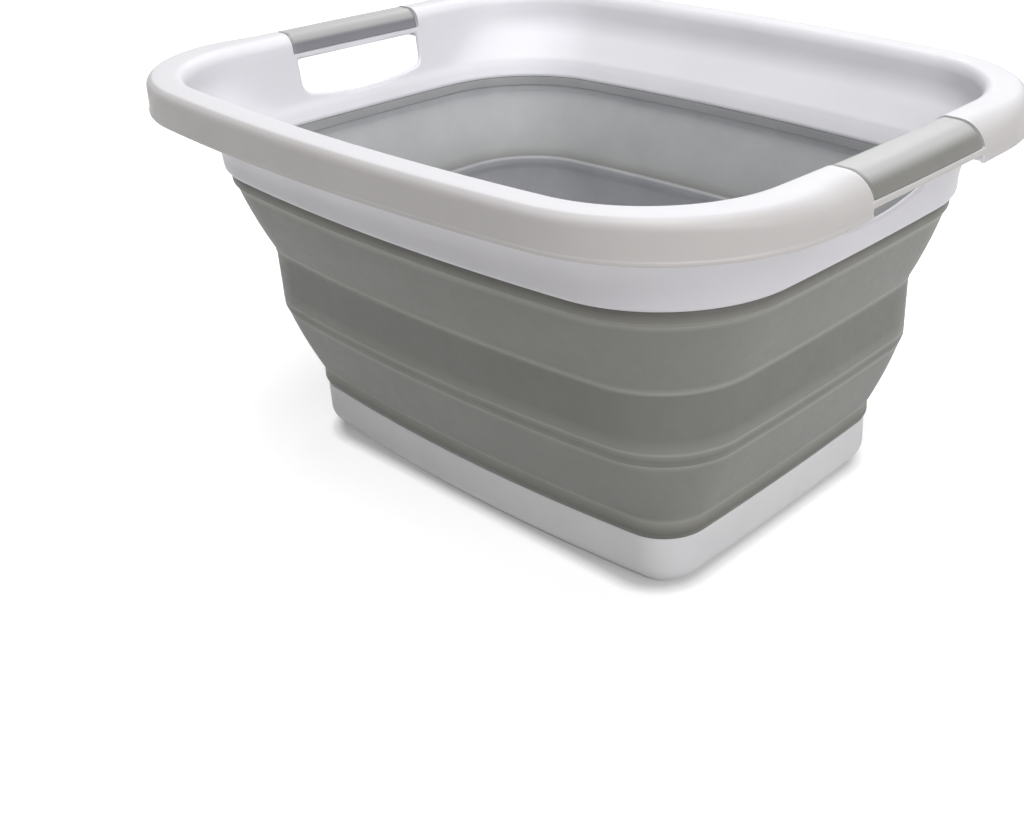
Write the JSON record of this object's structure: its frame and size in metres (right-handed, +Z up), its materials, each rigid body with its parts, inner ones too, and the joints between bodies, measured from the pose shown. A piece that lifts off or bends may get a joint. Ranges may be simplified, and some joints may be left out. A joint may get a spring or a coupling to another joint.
{
  "type": "collapsible washbasin",
  "caption": "Rectangular collapsible washbasin with rounded corners: a white rim with grip handles and a white base tray, joined by a grey bellows that folds flat.",
  "frame": {"origin": "centre of the footprint, on the plane that the basin stands on", "axes": "+X along the basin's length towards the right grip, +Y across it, +Z up out of the open top"},
  "size_m": [0.5288, 0.4194, 0.275],
  "materials": {
    "white_tray": "satin moulded polypropylene",
    "grey_bottom_band": "matt moulded elastomer",
    "grey_lower_fold": "matt moulded elastomer",
    "grey_middle_band": "matt moulded elastomer",
    "grey_upper_fold": "matt moulded elastomer",
    "grey_top_ring": "matt moulded elastomer",
    "white_rim": "satin moulded polypropylene",
    "grey_grip_right": "satin moulded elastomer",
    "grey_grip_left": "satin moulded elastomer"
  },
  "bodies": {
    "base": {"base_tray": "white_tray", "bellows_bottom_band": "grey_bottom_band", "bellows_lower_fold": "grey_lower_fold"},
    "middle": {"bellows_middle_band": "grey_middle_band", "bellows_upper_fold": "grey_upper_fold"},
    "rim": {"rim_end_right": "white_rim", "rim_end_left": "white_rim", "rim_side_front": "white_rim", "rim_side_back": "white_rim", "bellows_top_ring_end_right": "grey_top_ring", "bellows_top_ring_end_left": "grey_top_ring", "bellows_top_ring_side_front": "grey_top_ring", "bellows_top_ring_side_back": "grey_top_ring", "handle_grip_right": "grey_grip_right", "handle_grip_left": "grey_grip_left"}
  },
  "joints": [
    {"name": "lower_fold_collapse", "type": "slide", "parent": "base", "child": "middle", "axis": [0, 0, 1], "range_m": [-0.094, 0], "deforming": ["bellows_lower_fold"]},
    {"name": "upper_fold_collapse", "type": "slide", "parent": "middle", "child": "rim", "axis": [0, 0, 1], "range_m": [-0.1, 0], "deforming": ["bellows_upper_fold"]}
  ]
}
